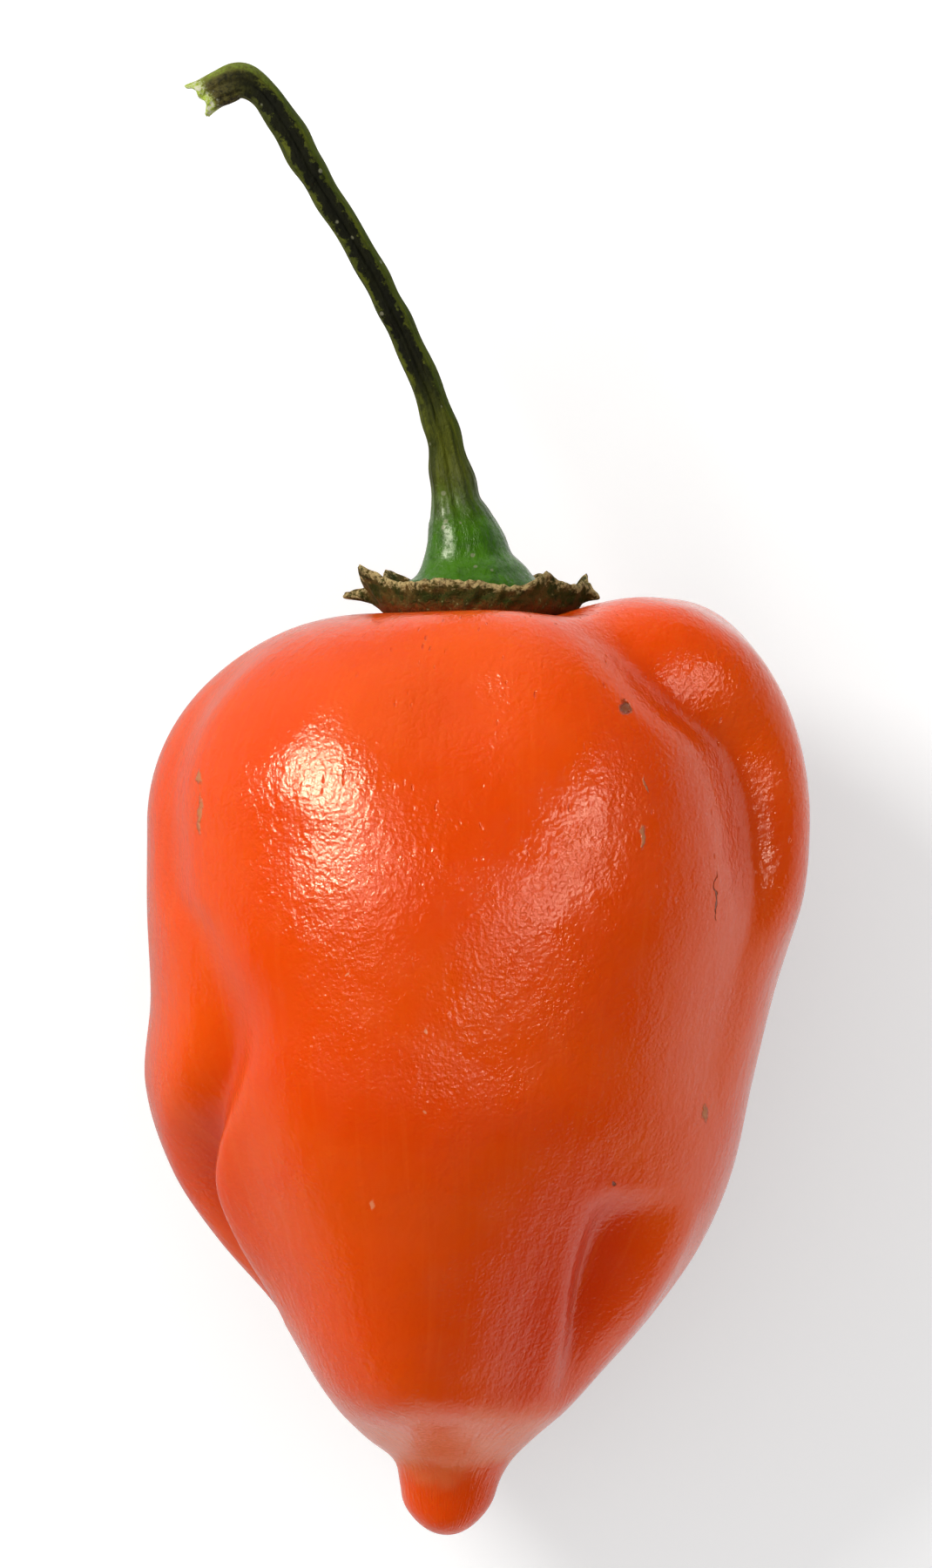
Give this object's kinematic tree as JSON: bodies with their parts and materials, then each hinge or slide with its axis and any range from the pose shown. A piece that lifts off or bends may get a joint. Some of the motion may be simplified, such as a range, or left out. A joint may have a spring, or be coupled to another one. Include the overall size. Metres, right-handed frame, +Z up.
{
  "type": "chilli pepper",
  "caption": "Squat, lobed chilli pepper lying on its side, with a small nub at its tip, a dry saucer-shaped calyx and a thin stem that ends in a hook.",
  "frame": {"origin": "middle of the bottom of the bounding box, on the surface that the pepper lies on", "axes": "+Z up, +Y from the tip of the pod towards the stem, +X to the right seen from above with the stem pointing away"},
  "size_m": [0.038, 0.0844, 0.0325],
  "materials": {
    "pod_skin": "glossy, finely dimpled orange-red skin",
    "calyx": "dry and crinkled, olive brown with straw-coloured edges",
    "stem": "ribbed green stalk, satin, browner towards its broken end"
  },
  "bodies": {
    "root": {"pod": "pod_skin", "calyx": "calyx", "stem": "stem"}
  },
  "joints": []
}
